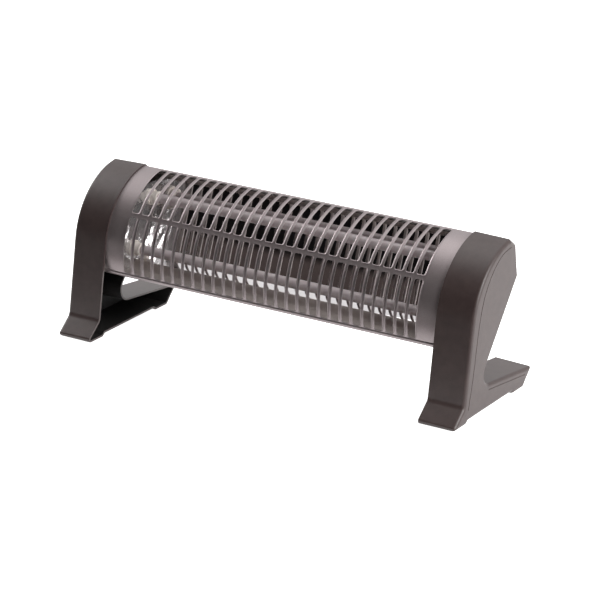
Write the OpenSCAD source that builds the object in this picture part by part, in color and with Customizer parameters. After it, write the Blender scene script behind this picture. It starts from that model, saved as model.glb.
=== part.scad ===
// Two bar quartz heater for the floor. X runs along the tubes, the front faces -Y, Z is up.
// The origin is on the floor, under the middle of the whole heater.

/* [Stands] */
// Overall length, over both stands
body_len = 500; // [440:1:640]
// Width of one stand along the heater
stand_w = 43; // [40:0.5:52]
// Overall height
stand_h = 176; // [170:1:186]
// Depth of the foot from toe to heel
stand_d = 164; // [156:1:180]
// Moulded wall
wall = 2.2; // [1.8:0.1:3]
// Rounding of the outer edges
edge_r = 4; // [2:0.25:5]
// Draft of the moulding over the stand's width
draft = 0.8; // [0.2:0.1:1.2]
// Radius of the curved front and top
drum_r = 86; // [82:0.5:88]
// Drum axis behind the tip of the toe
drum_back = 117.5; // [115:0.5:120]
// Lean of the front leg in degrees
leg_lean = 9.4; // [8:0.1:11]
// Slope of the toe in degrees
toe_slope = 39.5; // [36:0.5:44]
// Rounding of the tip of the toe
toe_r = 3.4; // [2:0.1:4]
// Drop of the bend in the back below the top
bend_drop = 45.5; // [40:0.5:50]
// Bend in the back, behind the tip of the toe
bend_y = 127.5; // [126:0.5:131]
// Top of the back face, behind the tip of the toe
back_y = 121.5; // [120:0.5:124]
// Drop of the bevel behind the crest
bevel_drop = 9; // [7:0.5:12]
// Root of the notch, behind the tip of the toe
notch_y = 50.2; // [48:0.5:54]
// Height of the root of the notch
notch_z = 32.9; // [30:0.5:36]
// Rounding of the notch
notch_r = 12.5; // [9:0.5:15]
// Height of the heel's top edge
heel_z = 19.3; // [16:0.5:22]
// How far the heel's end rakes forward to the floor
heel_rake = 17.4; // [12:0.5:20]
// Length of the pad under the toe
toe_pad = 21.4; // [18:0.5:26]
// Length of the pad under the heel
heel_pad = 21.7; // [18:0.5:26]
// Height of the base between the pads
base_gap = 3; // [2:0.25:4]

/* [Grille] */
// Thickness of the grille's sheet
grille_t = 0.8; // [0.6:0.1:1.2]
// Plain band at each end of the grille
end_band = 22; // [20:0.5:30]
// Distance from slot to slot
slot_pitch = 13.2; // [12:0.1:13.4]
// Width of a slot
slot_w = 9.2; // [7:0.1:10]
// Cut across each corner of a slot
slot_corner = 1.8; // [1:0.1:3]
// Upper row, first angle from the vertical
row_a_start = 8.7; // [8:0.1:10]
// Upper row, last angle
row_a_end = 53.2; // [50:0.1:54]
// Lower row, first angle
row_b_start = 57; // [56:0.1:59]
// Lower row, last angle
row_b_end = 98.8; // [94:0.1:99]
// Angle of the lower edge
lip_angle = 101.5; // [101:0.1:103]
// Depth of the folded lower lip
lip_d = 9; // [6:0.5:12]
// Length of the flange behind the crest
crest_flange = 11; // [8:0.5:12]

/* [Reflector and covers] */
// Thickness of the reflector's sheet
mirror_t = 0.5; // [0.4:0.1:0.8]
// Radius of the reflector's curve
mirror_r = 109; // [108:0.5:110]
// Centre of that curve in front of the drum axis
mirror_fore = 109.5; // [109:0.5:110]
// Centre of that curve above the drum axis
mirror_up = 83.6; // [83:0.1:84]
// Reflector's top edge above the drum axis
mirror_rise = 70.7; // [68:0.1:71.5]
// Distance from a stand to the reflector's end
mirror_back = 17; // [15:0.5:24]
// Thickness of the rear cover's sheet
cover_t = 0.8; // [0.6:0.1:1]
// Width of a vent in the rear cover
vent_w = 3; // [2:0.25:4]
// Length of a vent
vent_len = 22; // [16:1:24]
// Vents in one row
vent_count = 11; // [7:1:12]
// Distance from vent to vent
vent_pitch = 32; // [28:1:33]
// Thickness of the end plates
plate_t = 1.2; // [1:0.1:1.6]

/* [Tubes] */
// Outer diameter of a quartz tube
tube_d = 11; // [10:0.25:12]
// Wall of a quartz tube
tube_wall = 1.2; // [1:0.1:1.5]
// Upper tube in front of the drum axis
tube_a_fore = 22.7; // [20:0.1:25]
// Upper tube above the drum axis
tube_a_up = 55; // [52:0.1:57]
// Lower tube in front of the drum axis
tube_b_fore = 56; // [53:0.1:58]
// Lower tube above the drum axis
tube_b_up = 5.2; // [3:0.1:8]
// Diameter of a ceramic cap
cap_d = 14; // [13.5:0.1:15]
// Diameter of the cap's shoulder
cap_shoulder_d = 18; // [17:0.1:19]
// Outer diameter of a heating coil
coil_d = 6.2; // [5.6:0.1:6.8]
// Diameter of a terminal pin
pin_d = 4; // [3:0.1:4]

/* [Switches] */
// Length of a switch's frame
switch_len = 21; // [20.5:0.1:22]
// Width of a switch's frame
switch_w = 15; // [14.4:0.1:15.5]
// Distance between the two switches
switch_pitch = 17; // [16:0.1:17.5]
// Full travel of a rocker in degrees
rocker_travel = 20; // [16:1:24]

/* [Tip-over switch] */
// Diameter of the plunger's stem
stem_d = 4; // [3:0.1:4.4]
// Travel of the plunger below the base
plunger_travel = 5; // [3:0.25:5]
// Height of the plunger's foot above the floor when the heater stands
foot_gap = 0.2; // [0.1:0.05:0.4]

/* [Cord entry] */
// Bore of the cord gland
gland_bore_d = 7.2; // [6:0.1:8]
// Length of the gland's bore
gland_len = 20; // [18:0.5:22]
// Diameter of the gland's flange
gland_flange_d = 18; // [16:0.5:20]

/* [Hidden] */
$fn = 48;

// Shared clearances and the overrun that every cut uses
seat_gap = 0.3;
run_gap = 0.05;
over = 1;

// Stations along X, on the right hand side
x_out = body_len / 2;
x_in = x_out - stand_w;
plate_sink = 2;
x_plate = x_in + plate_sink;
x_room = x_plate + plate_t;
x_mirror = x_in - mirror_back;
x_stand = (x_in + x_out) / 2;

// Drum axis
crest_tilt = 8;
crest_run = 4;
axis_y = drum_back - stand_d / 2;
axis_z = stand_h - drum_r * cos(crest_tilt) - crest_run * sin(crest_tilt);
mirror_top = axis_z + mirror_rise;
plate_in = wall + seat_gap;
grille_r = drum_r - plate_in;

// Plane geometry. A point is [y, z], and an outline runs anticlockwise seen from +X
function unit(v) = v / norm(v);
function cross2(a, b) = a[0] * b[1] - a[1] * b[0];
function left_of(v) = [-v[1], v[0]];
function at(list, i) = list[(i + len(list)) % len(list)];
function meet(p, u, q, v) = p + u * cross2(q - p, v) / cross2(u, v);

// Moves each corner in by d, keeping every side parallel
function inset(list, d) = [for (i = [0 : len(list) - 1])
    let (a = left_of(unit(list[i] - at(list, i - 1))),
         b = left_of(unit(at(list, i + 1) - list[i])))
    list[i] + d * (a + b) / (1 + a * b)];

// One corner as an arc of n steps
least_r = 0.3;
function corner(p, q, s, r, n) =
    let (u = unit(p - q), v = unit(s - q), half = acos(u * v) / 2,
         c = q + unit(u + v) * r / sin(half), start = q + u * r / tan(half) - c,
         turn = sign(cross2(q - p, s - q)) * (180 - 2 * half))
    [for (k = [0 : n]) let (a = turn * k / n)
        c + [start[0] * cos(a) - start[1] * sin(a), start[0] * sin(a) + start[1] * cos(a)]];
function bends_out(list, i) =
    cross2(list[i] - at(list, i - 1), at(list, i + 1) - list[i]) > 0;
function rounded(list, radii, steps, d) =
    let (moved = inset(list, d))
    [for (i = [0 : len(list) - 1])
        each corner(at(moved, i - 1), moved[i], at(moved, i + 1),
            bends_out(list, i) ? max(radii[i] - d, least_r) : radii[i] + d, steps[i])];

// How far a rounded corner falls short of the sharp one, along way
function short_of(p, q, s, r, way) =
    let (u = unit(p - q), v = unit(s - q), half = acos(u * v) / 2)
    -(unit(u + v) * way * r / sin(half) + r);

// Where a line enters a circle
function enter(p, u, c, r) =
    let (w = p - c, b = w * u) p + u * (-b - sqrt(b * b - w * w + r * r));

// Side outline of a stand
function from_axis(angle, r) = [axis_y - r * sin(angle), axis_z + r * cos(angle)];
toe_tip_y = -stand_d / 2;
toe_point = [toe_tip_y + toe_r - toe_r / tan(toe_slope / 2), 0];
crest_start = from_axis(crest_tilt, drum_r);
leg_angle = 90 - leg_lean;
leg_start = from_axis(leg_angle, drum_r);
leg_way = [-sin(leg_lean), -cos(leg_lean)];
crest_way = [cos(crest_tilt), sin(crest_tilt)];
front_corner = meet(crest_start, crest_way, leg_start, leg_way);
instep = meet(toe_point, [cos(toe_slope), sin(toe_slope)], leg_start, leg_way);
crest_end = crest_start + crest_run * crest_way;
back_top = [toe_tip_y + back_y, stand_h - bevel_drop];
back_bend = [toe_tip_y + bend_y, stand_h - bend_drop];
notch = [toe_tip_y + notch_y, notch_z];
heel_floor = [stand_d / 2 - heel_rake, 0];
heel_r = 2;
function heel_guess(y) = stand_d / 2 + short_of(heel_floor, [y, heel_z], notch, heel_r, [1, 0]);
heel_top = [heel_guess(heel_guess(heel_guess(stand_d / 2))), heel_z];
toe_pad_y = toe_point[0] + toe_r / tan(toe_slope / 2) + toe_pad;
pad_slope = 4;
side = [toe_point, [toe_pad_y, 0], [toe_pad_y + pad_slope, base_gap],
    [heel_floor[0] - heel_pad - pad_slope, base_gap], [heel_floor[0] - heel_pad, 0],
    heel_floor, heel_top, notch, back_bend, back_top, crest_end, front_corner, instep];
small_r = 0.8;
bend_r = 5;
crest_r = 3;
instep_r = 8;
side_radii = [toe_r, small_r, small_r, small_r, small_r, heel_r, heel_r, notch_r, bend_r,
    bend_r, crest_r, drum_r, instep_r];
side_steps = [6, 1, 1, 1, 1, 2, 6, 8, 3, 3, 4, 24, 4];
i_notch = 7;
i_bend = 8;
i_back = 9;
i_crest = 10;

// A ring of the stand. The draft of the sides leaves the pads flat on the floor
function lowered(z, drop) = z - drop * max(0, notch_z - z) / (notch_z - drop);
function stand_ring(x, d, drop) = [for (p = rounded(side, side_radii, side_steps, d))
    [x, p[0], lowered(p[1], drop)]];

// Places what is drawn flat in [y, z] between two stations
module along_x(x0, x1) {
    translate([x0, 0, 0]) rotate([90, 0, 90]) linear_extrude(x1 - x0) children();
}

// Puts a child on a side of an outline: t along the side, its z axis pointing out
module on_side(a, b, t, x) {
    way = unit(b - a);
    p = a + (b - a) * t;
    translate([x, p[0], p[1]]) rotate([atan2(-way[1], -way[0]), 0, 0]) children();
}

// A lead through a list of points: a ring at each point, cut square at both ends
lead_sides = 10;
function across(v) = unit(cross(v, abs(v[0]) < abs(v[1]) ? [1, 0, 0] : [0, 1, 0]));
function first_ring(p, v, r) =
    let (a = across(v), b = cross(v, a))
    [for (k = [0 : lead_sides - 1]) let (t = 360 * k / lead_sides)
        p + r * (a * cos(t) + b * sin(t))];
function next_rings(points, ring, i) =
    i == len(points) ? [] :
    let (u = unit(points[i] - points[i - 1]),
         m = i == len(points) - 1 ? u : unit(u + unit(points[i + 1] - points[i])),
         moved = [for (q = ring) q + u * ((points[i] - q) * m) / (u * m)])
    concat([moved], next_rings(points, moved, i + 1));
module lead(points, r) {
    start = first_ring(points[0], unit(points[1] - points[0]), r);
    rings = concat([start], next_rings(points, start, 1));
    n = lead_sides;
    last = len(rings) - 1;
    polyhedron(
        points = [for (ring = rings) each ring],
        faces = [
            [for (i = [0 : n - 1]) i],
            for (k = [0 : last - 1], i = [0 : n - 1]) let (j = (i + 1) % n)
                each [[k * n + i, (k + 1) * n + j, k * n + j], [k * n + i, (k + 1) * n + i,
                    (k + 1) * n + j]],
            [for (i = [0 : n - 1]) last * n + n - 1 - i]],
        convexity = 4);
}

module mirrored() { mirror([1, 0, 0]) children(); }

// Fixing points of an end plate: two as shares of the drum's radius from its axis, and one
// beside the bend in the back
fixing_shares = [[-0.62, 0.52], [-0.87, 0.16]];
bend_fix = [-16.9, -2.4];
boss_r = 4;
pilot_r = 1.5;
pilot_len = 14;
fixings = [back_bend + bend_fix, for (s = fixing_shares) [axis_y, axis_z] + drum_r * s];

// Stand as a stack of rings: outer face, rounded edge, side, rim and the inside of the wall
edge_steps = 4;
module stand_shell() {
    rings = [
        for (k = [0 : edge_steps]) let (a = 90 - 90 * k / edge_steps)
            stand_ring(x_out - edge_r + edge_r * sin(a), draft + edge_r * (1 - cos(a)), draft),
        stand_ring(x_in, 0, 0),
        stand_ring(x_in, wall, 0),
        stand_ring(x_out - wall, wall + draft, draft)];
    n = len(rings[0]);
    last = len(rings) - 1;
    polyhedron(
        points = [for (ring = rings) each ring],
        faces = [
            [for (i = [0 : n - 1]) n - 1 - i],
            for (k = [0 : last - 1], i = [0 : n - 1]) let (j = (i + 1) % n)
                each [[k * n + i, k * n + j, (k + 1) * n + j], [k * n + i, (k + 1) * n + j,
                    (k + 1) * n + i]],
            [for (i = [0 : n - 1]) last * n + i]],
        convexity = 8);
}

module fixing_bosses() {
    for (p = fixings)
        translate([x_room, p[0], p[1]]) rotate([0, 90, 0])
            difference() {
                cylinder(r = boss_r, h = x_out - wall / 2 - x_room);
                translate([0, 0, -over]) cylinder(r = pilot_r, h = pilot_len + over);
            }
}

module stand() {
    union() {
        stand_shell();
        fixing_bosses();
    }
}

module left_stand() { color("#524b49") mirrored() stand(); }

// Switch row on the back face of the right stand
switch_share = 0.5;
recess_d = draft + 0.4;
recess_edge = 0.4;
body_len_gap = 2;
body_w_gap = 2.2;
cut_gap = 0.1;
sw_body_len = switch_len - body_len_gap;
sw_body_w = switch_w - body_w_gap;
sw_body_d = 12;
function switch_x(i) = x_stand + (i - 0.5) * switch_pitch;

module at_switch(i) { on_side(side[i_bend], side[i_back], switch_share, switch_x(i)) children(); }

module block_at(w, l, z0, z1) { translate([-w / 2, -l / 2, z0]) cube([w, l, z1 - z0]); }

// Tip-over switch in the base of the right stand
tilt_back = 47.5;
tilt_y = toe_tip_y + tilt_back;
tilt_pad_w = 18;
tilt_pad_top = 7;
module tilt_pad() {
    translate([x_stand - tilt_pad_w / 2, tilt_y - tilt_pad_w / 2, base_gap + wall / 2])
        cube([tilt_pad_w, tilt_pad_w, tilt_pad_top - base_gap - wall / 2]);
}

// Terminal block on two posts
block_w = 14;
block_d = 16;
block_h = 32;
block_drop = 40.3;
block_back = 7;
block_z = axis_z - block_drop;
block_y = axis_y - drum_r + block_back;
block_x = x_stand + 10;
post_r = 3.5;
post_in = 7;
block_screw_r = 1.2;
module block_posts() {
    for (z = [block_z + post_in, block_z + block_h - post_in])
        translate([block_x, block_y + block_d / 2, z]) rotate([0, 90, 0])
            difference() {
                cylinder(r = post_r, h = x_out - wall / 2 - block_x);
                translate([0, 0, -over]) cylinder(r = block_screw_r, h = pilot_len / 2 + over);
            }
}

// Cord gland low on the sloping back
gland_share = 0.55;
gland_body_r = gland_bore_d / 2 + 2.6;
gland_gap = 0.1;
flange_t = 3;
module at_gland() { on_side(side[i_notch], side[i_bend], gland_share, x_stand) children(); }

module right_stand() {
    color("#524b49") difference() {
        union() {
            stand();
            tilt_pad();
            block_posts();
        }
        on_side(side[i_bend], side[i_back], switch_share, x_stand)
            block_at(switch_pitch + switch_w + 2 * recess_edge, switch_len + 2 * recess_edge,
                -recess_d, over);
        for (i = [0, 1])
            at_switch(i) block_at(sw_body_w + 2 * cut_gap, sw_body_len + 2 * cut_gap,
                -wall - draft - 2 * over, over);
        at_gland() translate([0, 0, -2 * wall - draft - over])
            cylinder(r = gland_body_r + gland_gap, h = 2 * wall + draft + 2 * over);
        translate([x_stand, tilt_y, 0]) cylinder(r = stem_d / 2 + run_gap, h = tilt_pad_top + over);
    }
}

// Grille: curved sheet with two rows of slots, a lip below and a flange behind the crest
module sector(a0, a1, reach) {
    steps = 4;
    polygon([[axis_y, axis_z], for (k = [0 : steps]) from_axis(a0 + (a1 - a0) * k / steps, reach)]);
}
module arc_band(r0, r1, a0, a1) {
    intersection() {
        difference() {
            translate([axis_y, axis_z]) circle(r = r1);
            translate([axis_y, axis_z]) circle(r = r0);
        }
        sector(a0, a1, 2 * r1);
    }
}
bevel_way = unit(back_top - crest_end);
fit_line = inset(side, plate_in);
crest_join = enter(fit_line[i_crest], bevel_way, [axis_y, axis_z], grille_r);
crest_angle = asin((axis_y - crest_join[0]) / grille_r);
module crest_strip() {
    end = crest_join + bevel_way * crest_flange;
    under = left_of(bevel_way) * -grille_t;
    polygon([from_axis(2 * crest_angle, grille_r - grille_t / 2), crest_join + under,
        end + under, end, crest_join]);
}
// A slot is pressed straight through, square to the sheet at the middle of its row
function slot_outline(w, l, c) = [[w - c, -l], [w, c - l], [w, l - c], [w - c, l],
    [c - w, l], [-w, l - c], [-w, c - l], [c - w, -l]];
module slot_cut(x, a0, a1) {
    half = (a1 - a0) / 2;
    low = grille_r * cos(half) - grille_t - over;
    translate([x, axis_y, axis_z]) rotate([a0 + half, 0, 0]) translate([0, 0, low])
        linear_extrude(grille_r + over - low)
            polygon(slot_outline(slot_w / 2, grille_r * sin(half), slot_corner));
}
lip_start = from_axis(lip_angle, grille_r);
slot_count = floor(2 * (x_in - end_band) / slot_pitch);
module front_grille() {
    color("#8f868b") difference() {
        along_x(-x_plate, x_plate) {
            arc_band(grille_r - grille_t, grille_r, crest_angle, lip_angle);
            crest_strip();
            polygon([lip_start, lip_start + [lip_d, 0], lip_start + [lip_d, grille_t],
                lip_start + [0, grille_t]]);
        }
        for (i = [0 : slot_count - 1]) {
            x = (i - (slot_count - 1) / 2) * slot_pitch;
            slot_cut(x, row_a_start, row_a_end);
            slot_cut(x, row_b_start, row_b_end);
        }
    }
}

// Reflector: one curve behind both tubes, then a level strip that rests on the grille's lip
mirror_c = [axis_y - mirror_fore, axis_z + mirror_up];
mirror_floor = lip_start[1] + grille_t;
function mirror_y(z) = mirror_c[0] + sqrt(mirror_r * mirror_r - (z - mirror_c[1]) * (z - mirror_c[1]));
module mirror_section() {
    y_low = mirror_y(mirror_floor + mirror_t);
    intersection() {
        difference() {
            translate(mirror_c) circle(r = mirror_r + mirror_t, $fn = 96);
            translate(mirror_c) circle(r = mirror_r, $fn = 96);
        }
        translate([y_low, mirror_floor]) square([mirror_r, mirror_top - mirror_floor]);
    }
    translate([lip_start[0] + 2 * grille_t, mirror_floor])
        square([y_low - lip_start[0] - 2 * grille_t + mirror_t, mirror_t]);
}
module reflector() {
    color("#c9ccd0") along_x(-x_mirror, x_mirror) mirror_section();
}

// Reflector end: sheet across the trough, with two strips that reach the end plate
cap_gap = 0.2;
tube_a = [axis_y - tube_a_fore, axis_z + tube_a_up];
tube_b = [axis_y - tube_b_fore, axis_z + tube_b_up];
end_inset = 0.6;
strip_run = 30;
module mirror_end() {
    difference() {
        along_x(x_mirror, x_mirror + mirror_t) intersection() {
            translate([axis_y, axis_z]) circle(r = grille_r - grille_t - end_inset);
            translate(mirror_c) circle(r = mirror_r + mirror_t, $fn = 96);
            translate([axis_y - drum_r, mirror_floor])
                square([2 * drum_r, mirror_top - mirror_floor]);
        }
        for (p = [tube_a, tube_b])
            translate([x_mirror - over, p[0], p[1]]) rotate([0, 90, 0])
                cylinder(r = cap_d / 2 + cap_gap, h = mirror_t + 2 * over);
    }
    translate([x_mirror, lip_start[0] + lip_d, mirror_floor])
        cube([x_plate - x_mirror, strip_run / 2, mirror_t]);
    translate([x_mirror, mirror_y(mirror_top) - strip_run, mirror_top - mirror_t])
        cube([x_plate - x_mirror, strip_run / 2, mirror_t]);
}
module left_reflector_end() { color("#d5d7d8") mirrored() mirror_end(); }
module right_reflector_end() { color("#d5d7d8") mirror_end(); }

// Rear cover: follows the inside of the stands from the bevel to a level floor
cover_in = plate_in + grille_t + run_gap;
cover_line = inset(side, cover_in);
cover_hem = 6;
cover_floor = lip_start[1] - cover_t;
cover_low = meet(cover_line[i_notch], unit(cover_line[i_bend] - cover_line[i_notch]),
    [0, cover_floor], [1, 0]);
function sheet(points, t) = concat(points, [for (i = [len(points) - 1 : -1 : 0])
    let (a = left_of(unit(points[max(i, 1)] - points[max(i, 1) - 1])),
         b = left_of(unit(points[min(i + 1, len(points) - 1)] - points[min(i, len(points) - 2)])))
    points[i] + t * (a + b) / (1 + a * b)]);
vent_shares = [0.3, 0.62];
module rear_cover() {
    path = [lip_start + [0, -cover_t], cover_low, cover_line[i_bend], cover_line[i_back],
        cover_line[i_back] + unit(cover_line[i_crest] - cover_line[i_back]) * cover_hem];
    color("#4c4845") difference() {
        along_x(-x_plate, x_plate) polygon(sheet(path, cover_t));
        for (i = [0 : vent_count - 1], s = vent_shares)
            on_side(cover_low, cover_line[i_bend], s, (i - (vent_count - 1) / 2) * vent_pitch)
                vent_cut();
        for (x = [-x_screw, x_screw], s = screw_shares)
            on_side(cover_low, cover_line[i_bend], s, x)
                translate([0, 0, -cover_t - over])
                    cylinder(r = screw_r + run_gap, h = cover_t + 2 * over);
    }
}
module vent_cut() {
    translate([-vent_len / 2 + vent_w / 2, -vent_w / 2, -cover_t - over])
        cube([vent_len - vent_w, vent_w, cover_t + 2 * over]);
    for (x = [-vent_len / 2 + vent_w / 2, vent_len / 2 - vent_w / 2])
        translate([x, 0, -cover_t - over]) cylinder(r = vent_w / 2, h = cover_t + 2 * over);
}

// End plate: fills the drum's end inside the stand, with tabs for the rear cover's screws
screw_shares = [0.2, 0.85];
screw_r = 1.45;
tab_w = 12;
tab_l = 10;
x_screw = x_plate - tab_w / 2;
lead_hole_r = 3;
module end_plate() {
    difference() {
        union() {
            along_x(x_plate, x_room) intersection() {
                polygon(rounded(side, side_radii, side_steps, plate_in));
                translate([-stand_d, cover_floor]) square([2 * stand_d, stand_h]);
            }
            for (s = screw_shares)
                on_side(cover_low, cover_line[i_bend], s, x_screw)
                    block_at(tab_w, tab_l, -cover_t - plate_t, -cover_t);
        }
        for (p = fixings)
            translate([x_plate - over, p[0], p[1]]) rotate([0, 90, 0])
                cylinder(r = screw_r + run_gap, h = plate_t + 2 * over);
        for (p = lead_holes)
            translate([x_plate - over, p[0], p[1]]) rotate([0, 90, 0])
                cylinder(r = lead_hole_r, h = plate_t + 2 * over);
        for (s = screw_shares)
            on_side(cover_low, cover_line[i_bend], s, x_screw)
                translate([0, 0, -cover_t - plate_t - over])
                    cylinder(r = pilot_r, h = plate_t + 2 * over);
    }
}
module left_end_plate() { color("#9a9a98") mirrored() end_plate(); }
module right_end_plate() { color("#9a9a98") end_plate(); }

// Quartz tubes, coils, caps and pins
cap_in = 12;
cap_shoulder_t = 3.5;
cap_out = 10;
socket_in = 2;
glass_gap = 0.1;
x_cap_in = x_mirror - cap_in;
x_cap_out = x_mirror + cap_out;
x_glass = x_mirror - socket_in;
module quartz_tube(p) {
    color("#a89d9d") along_x(-x_glass, x_glass) difference() {
        translate(p) circle(d = tube_d);
        translate(p) circle(d = tube_d - 2 * tube_wall);
    }
}
coil_bore_r = pin_d / 2 + 0.1;
x_coil = x_cap_in - 2;
module heating_coil(p) {
    color("#6d6a66") along_x(-x_coil, x_coil) difference() {
        translate(p) circle(d = coil_d);
        translate(p) circle(r = coil_bore_r);
    }
}
cap_bead = 0.6;
module ceramic_cap(p) {
    color("#d8d3c6") translate([0, p[0], p[1]]) rotate([0, 90, 0]) difference() {
        union() {
            translate([0, 0, x_cap_in]) cylinder(d = cap_d, h = x_cap_out - x_cap_in);
            translate([0, 0, x_cap_in + cap_bead]) cylinder(d = cap_d + 2 * cap_bead, h = 2 * cap_bead);
            translate([0, 0, x_mirror - cap_shoulder_t])
                cylinder(d = cap_shoulder_d, h = cap_shoulder_t);
        }
        translate([0, 0, x_cap_in - over])
            cylinder(d = tube_d + 2 * glass_gap, h = x_glass - x_cap_in + over + glass_gap);
        translate([0, 0, x_cap_in]) cylinder(r = pin_d / 2 + glass_gap, h = cap_in + cap_out + over);
    }
}
pin_reach = 7;
pin_grip = 6;
tag_t = 0.8;
module terminal_pins(p) {
    color("#b9b4a8") for (s = [0, 1]) mirror([s, 0, 0])
        translate([x_coil - pin_grip, p[0], p[1]]) rotate([0, 90, 0])
            cylinder(d = pin_d, h = x_cap_out + pin_reach - x_coil + pin_grip);
}
nut_t = 3.2;
nut_r = 4;
module terminal_nuts() {
    color("#c4c1b8") for (s = [0, 1], p = [tube_a, tube_b]) mirror([s, 0, 0])
        translate([x_cap_out + tag_t, p[0], p[1]]) rotate([0, 90, 0]) difference() {
            cylinder(r = nut_r, h = nut_t, $fn = 6);
            translate([0, 0, -over]) cylinder(r = pin_d / 2 + run_gap, h = nut_t + 2 * over);
        }
}

// Ring tags: an eye on the pin and a tongue that points at the lead
tag_r = 4.6;
tag_tongue = 9;
tag_w = 3;
lead_r = 1.2;
x_tag = x_cap_out + tag_t / 2;
link_way = unit(tube_b - tube_a);
module tag(p, way) {
    along_x(x_cap_out, x_cap_out + tag_t) difference() {
        union() {
            translate(p) circle(r = tag_r);
            polygon([p + left_of(way) * tag_w / 2, p - left_of(way) * tag_w / 2,
                p - left_of(way) * tag_w / 2 + way * tag_tongue,
                p + left_of(way) * tag_w / 2 + way * tag_tongue]);
        }
        translate(p) circle(r = pin_d / 2 + run_gap);
    }
}
back_way = [1, 0];
module terminal_tags() {
    color("#c4c1b8") {
        mirrored() {
            tag(tube_a, link_way);
            tag(tube_b, -link_way);
            tag(tube_b, back_way);
        }
        tag(tube_a, back_way);
        tag(tube_b, link_way);
    }
}
function at_x(x, p) = [x, p[0], p[1]];

// Leads. The channel runs between the reflector and the rear cover
channel_share = 0.13;
channel_gap = 4;
channel_z = axis_z + channel_share * drum_r;
channel = [mirror_y(channel_z) + channel_gap, channel_z];
lead_run = 6;
upper_hole = tube_a + back_way * (tag_tongue + lead_run);
lower_hole = tube_b + link_way * (tag_tongue + lead_run);
lead_holes = [channel, upper_hole, lower_hole];
module left_link_lead() {
    color("#c8c6bd") lead([at_x(-x_tag, tube_a + link_way * tag_tongue),
        at_x(-x_tag, tube_b - link_way * tag_tongue)], lead_r);
}
blade_len = 7;
blade_w = 4.8;
blade_t = 0.8;
blade_apart = 5;
blade_z = -recess_d - sw_body_d;
switch_way = unit(side[i_back] - side[i_bend]);
switch_mid = side[i_bend] + (side[i_back] - side[i_bend]) * switch_share;
function blade_end(i, s, run) = at_x(switch_x(i), switch_mid - s * switch_way * blade_apart
    + left_of(switch_way) * (blade_len - blade_z + run));
block_mid = [block_x - block_w / 2, block_y + block_d / 2];
function over_block(run) = [block_mid[0], block_mid[1], block_z + block_h + run];
module return_lead() {
    color("#3f6fa8") lead([at_x(-x_tag, tube_b + back_way * tag_tongue),
        at_x(-x_tag, tube_b + back_way * (tag_tongue + lead_run)), at_x(-x_tag, channel),
        at_x(x_room + lead_run / 2, channel),
        [x_room + lead_run / 2, block_y + block_d + lead_run, block_z + block_h + 2 * lead_run],
        over_block(lead_run), over_block(0)], lead_r);
}
module upper_tube_lead() {
    color("#c8c6bd") lead([at_x(x_tag, tube_a + back_way * tag_tongue),
        at_x(x_tag, upper_hole), at_x(x_room + lead_run / 2, upper_hole),
        blade_end(0, -1, lead_run), blade_end(0, -1, 0)], lead_r);
}
module lower_tube_lead() {
    color("#c8c6bd") lead([at_x(x_tag, tube_b + link_way * tag_tongue),
        at_x(x_tag, lower_hole), at_x(x_room + 2 * lead_run, lower_hole),
        blade_end(1, -1, lead_run), blade_end(1, -1, 0)], lead_r);
}
contact_z = 16.3;
contact_t = 0.5;
contact_reach = 12;
contact_top = contact_z + contact_t;
module supply_leads() {
    x_near = x_stand - contact_reach;
    x_far = x_stand + contact_reach;
    color("#7a4a32") {
        lead([blade_end(0, 1, lead_r), blade_end(1, 1, lead_r)], lead_r);
        lead([[x_near, tilt_y, contact_top], [x_near, tilt_y, contact_top + lead_run],
            [x_near, tilt_y + 2 * lead_run, block_z], blade_end(0, 1, lead_run),
            blade_end(0, 1, 0)], lead_r);
        lead([[x_far, tilt_y, contact_top], [x_far, tilt_y, block_z - 2 * lead_run],
            [block_mid[0], block_mid[1], block_z - lead_run],
            [block_mid[0], block_mid[1], block_z]], lead_r);
    }
}

// Terminal block
bay_count = 3;
bay_r = 2.4;
module terminal_block() {
    color("#e6e2d8") translate([block_x - block_w, block_y, block_z]) difference() {
        cube([block_w, block_d, block_h]);
        for (i = [0 : bay_count - 1])
            translate([block_w / 2, block_d / 4, (i + 0.5) * block_h / bay_count])
                rotate([0, -90, 0]) cylinder(r = bay_r, h = block_w);
        for (z = [post_in, block_h - post_in])
            translate([-over, block_d / 2, z]) rotate([0, 90, 0])
                cylinder(r = block_screw_r + run_gap, h = block_w + 2 * over);
    }
}
head_r = 2.8;
head_t = 1.8;
module pan_screw(r, len) {
    cylinder(r = head_r, h = head_t);
    translate([0, 0, -len]) cylinder(r = r, h = len);
}
screw_bite = 5;
module terminal_block_screws() {
    color("#b4b2ad") for (z = [block_z + post_in, block_z + block_h - post_in])
        translate([block_x - block_w, block_y + block_d / 2, z]) rotate([0, -90, 0])
            pan_screw(block_screw_r - run_gap, block_w + screw_bite);
}

// Rocker switches. The pivot lies below the frame's front
pivot_z = -2;
frame_top = 0.8;
rocker_r = 8.6;
rocker_w = 10.4;
rocker_gap = 0.3;
trunnion_r = 0.9;
trunnion_in = 0.6;
rocker_lean = -rocker_travel / 2;
module switch_housing(i) {
    color("#1f1e1e") at_switch(i) difference() {
        union() {
            block_at(switch_w, switch_len, -recess_d, frame_top);
            block_at(sw_body_w, sw_body_len, -recess_d - sw_body_d, -recess_d);
        }
        translate([0, 0, pivot_z]) rotate([0, 90, 0])
            cylinder(r = rocker_r + rocker_gap, h = rocker_w + 2 * rocker_gap, center = true);
        block_at(rocker_w + 2 * rocker_gap, 2 * (rocker_r + rocker_gap), pivot_z, frame_top + over);
        translate([0, 0, pivot_z]) rotate([0, 90, 0])
            cylinder(r = trunnion_r + run_gap, h = rocker_w + 2 * rocker_gap + 2 * trunnion_in
                + 2 * cut_gap, center = true);
    }
}
rocker_low = 3;
rocker_mid = 2.4;
rocker_end = 4.4;
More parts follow.
